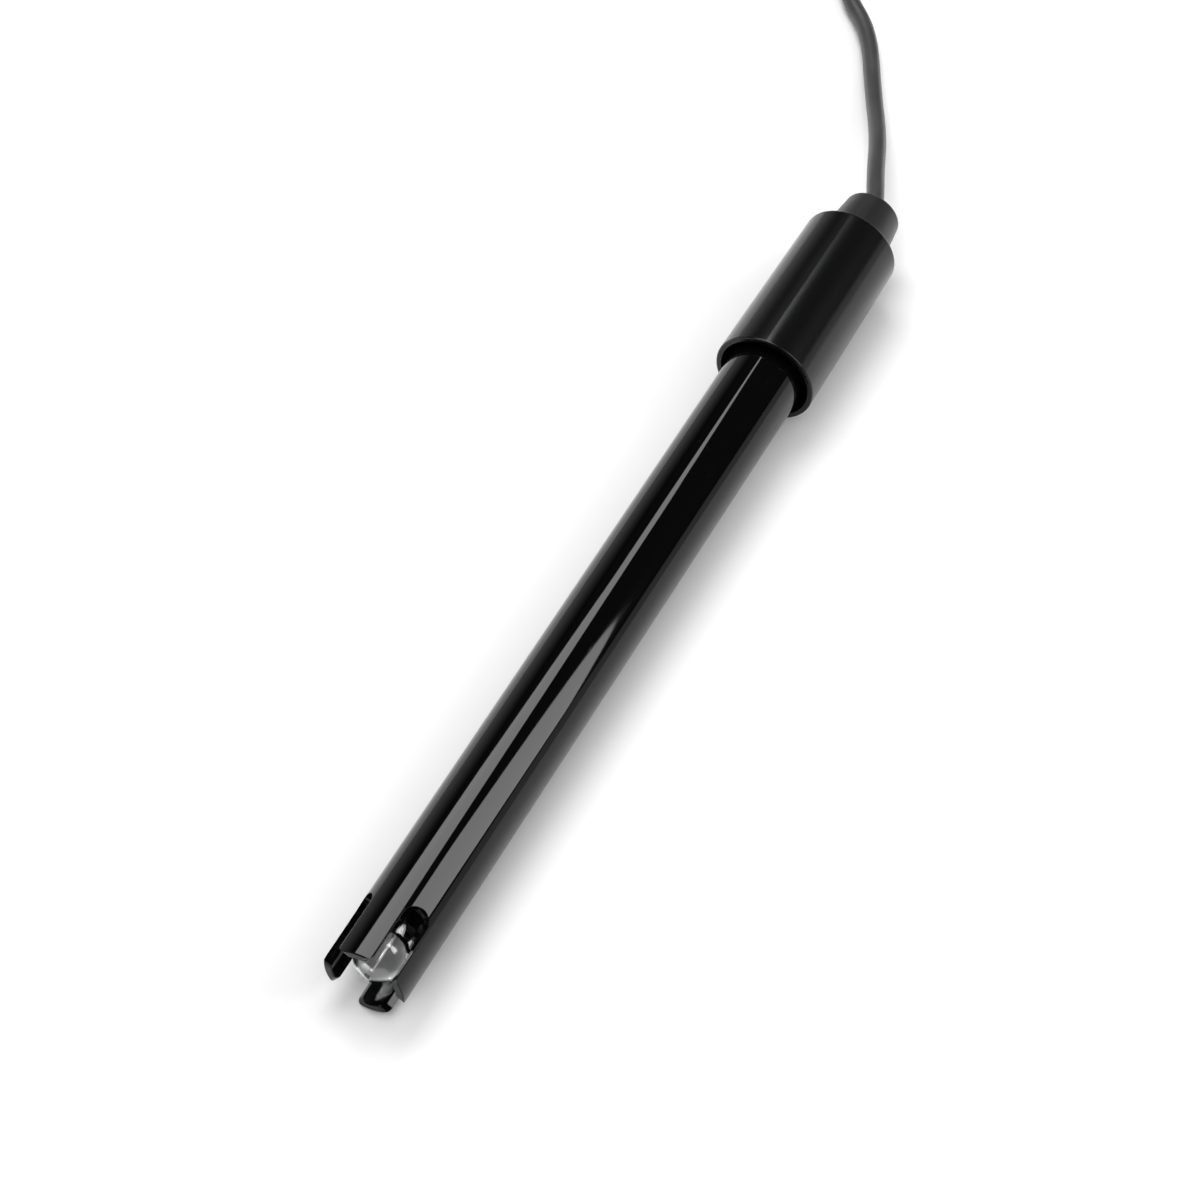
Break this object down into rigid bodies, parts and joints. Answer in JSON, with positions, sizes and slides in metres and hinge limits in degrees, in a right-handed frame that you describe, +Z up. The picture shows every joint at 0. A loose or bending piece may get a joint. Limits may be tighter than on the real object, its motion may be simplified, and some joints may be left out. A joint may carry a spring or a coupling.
{
  "type": "ph electrode",
  "caption": "Combination pH probe: slotted bulb guard on a slim round body, open-skirt cap with strain relief, and a thin coaxial lead to a bayonet plug.",
  "frame": {"origin": "on the table, under the middle of the electrode from its prong ends to the end of its strain relief", "axes": "+X along the electrode from the bulb towards the cable, +Z up"},
  "size_m": [0.3361, 0.0438, 0.016],
  "materials": {
    "tube_black": "glossy black epoxy",
    "clear_glass": "clear fire-polished glass",
    "buffer": "clear gelled solution",
    "silver": "drawn silver wire",
    "silicone": "matte silicone rubber",
    "sleeving": "black heat-shrink sleeving",
    "ceramic": "porous white ceramic",
    "gel": "cloudy gel",
    "white_moulding": "natural white plastic",
    "potting": "poured black epoxy",
    "cap_black": "satin black moulding",
    "relief_rubber": "matte grey-black rubber",
    "cable_jacket": "dark grey satin jacket",
    "core_insulation": "white dielectric",
    "braid": "twisted tinned braid",
    "tie_nylon": "black nylon",
    "nickel": "nickel-plated brass",
    "spring_steel": "spring steel",
    "gold": "gold-plated brass"
  },
  "bodies": {
    "electrode": {"body_tube": "tube_black", "cable": "cable_jacket", "cable_coil": "cable_jacket", "cable_inner_end": "cable_jacket", "cable_plug_end": "cable_jacket", "cable_tail": "cable_jacket", "cable_tie": "tie_nylon", "cap": "cap_black", "cap_potting": "potting", "centring_bush": "white_moulding", "coaxial_core": "core_insulation", "contact_pin": "gold", "core_joint_sleeve": "sleeving", "crimp_ferrule": "nickel", "glass_electrode": "clear_glass", "inner_buffer": "buffer", "inner_wire": "silver", "plug_body": "nickel", "plug_boot": "relief_rubber", "plug_core": "core_insulation", "plug_gasket": "silicone", "plug_insulator": "white_moulding", "reference_gel": "gel", "reference_junction": "ceramic", "reference_wire": "silver", "shield_joint_sleeve": "sleeving", "shield_tail": "braid", "stem_seal": "silicone", "stem_stopper": "silicone", "strain_relief": "relief_rubber", "wave_washer": "spring_steel", "wire_sleeve": "sleeving"},
    "thrust_washer": {"thrust_washer": "nickel"},
    "coupling_nut": {"coupling_nut": "nickel", "retaining_ring": "spring_steel"}
  },
  "joints": [
    {"name": "coupling_spring", "type": "slide", "parent": "electrode", "child": "thrust_washer", "axis": [0.9592, -0.2215, 0.1756], "range_m": [0, 0.0006], "stiffness_N_per_m": 8000, "springref_m": -0.0005, "deforming": ["wave_washer"]},
    {"name": "coupling_nut_turn", "type": "hinge", "parent": "thrust_washer", "child": "coupling_nut", "pos_m": [0.24845, 0.01649, 0.00845], "axis": [0.9592, -0.2215, 0.1756], "continuous": true}
  ]
}
